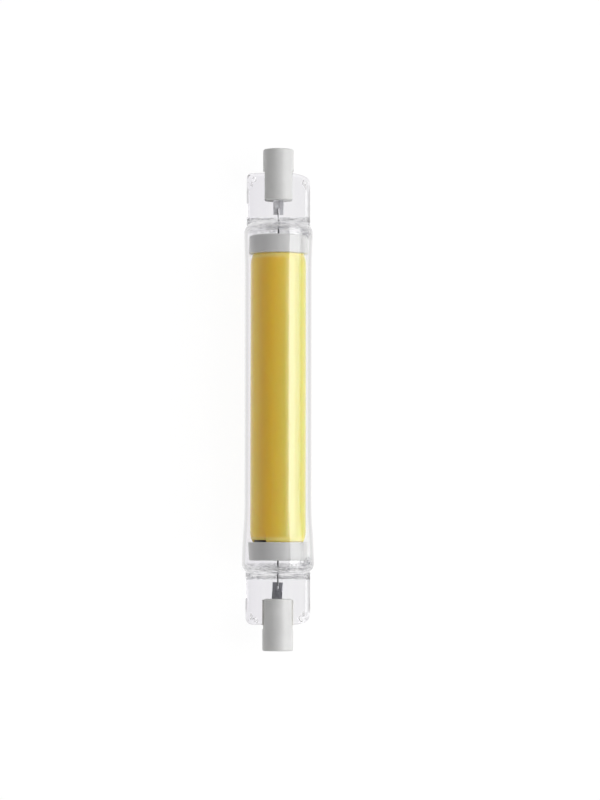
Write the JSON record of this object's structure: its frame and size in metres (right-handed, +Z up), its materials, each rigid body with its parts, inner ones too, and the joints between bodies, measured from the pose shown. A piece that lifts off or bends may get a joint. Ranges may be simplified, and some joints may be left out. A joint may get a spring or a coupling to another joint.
{
  "type": "linear led bulb",
  "caption": "Double-ended linear LED lamp: clear pinched glass tube, yellow phosphor cylinder on white plugs, slotted ceramic end caps with recessed contacts.",
  "frame": {"origin": "the lamp's centre, on its axis", "axes": "+X along the axis towards the right end, which is the top end in the picture; Y across the flat tabs; +Z up, with the lamp lying on its tube"},
  "size_m": [0.1176, 0.0168, 0.0156],
  "materials": {
    "clear_glass": "clear, fire polished",
    "phosphor_resin": "smooth cast silicone",
    "board_metal": "white lacquered",
    "chip_crystal": "polished",
    "plug_plastic": "moulded, satin",
    "lead_metal": "drawn wire",
    "foil_metal": "rolled foil",
    "cap_ceramic": "unglazed, matt",
    "cement": "fine grained",
    "contact_metal": "nickel plated",
    "driver_laminate": "lacquered laminate",
    "component_black": "moulded",
    "resistor_blue": "lacquered",
    "sleeve_white": "woven, coated"
  },
  "bodies": {
    "root": {"glass_envelope": "clear_glass", "phosphor_sleeve": "phosphor_resin", "led_board": "board_metal", "led_chips": "chip_crystal", "right_end_plug": "plug_plastic", "left_end_plug": "plug_plastic", "right_lead_wire": "lead_metal", "left_lead_wire": "lead_metal", "right_foil": "foil_metal", "left_foil": "foil_metal", "right_outer_lead": "lead_metal", "left_outer_lead": "lead_metal", "right_ceramic_cap": "cap_ceramic", "left_ceramic_cap": "cap_ceramic", "right_cement": "cement", "left_cement": "cement", "right_contact": "contact_metal", "left_contact": "contact_metal", "driver_board": "driver_laminate", "bridge_rectifier": "component_black", "current_regulators": "component_black", "sense_resistors": "component_black", "fuse_resistor": "resistor_blue", "wire_sleeve": "sleeve_white", "link_wires": "lead_metal"}
  },
  "joints": []
}
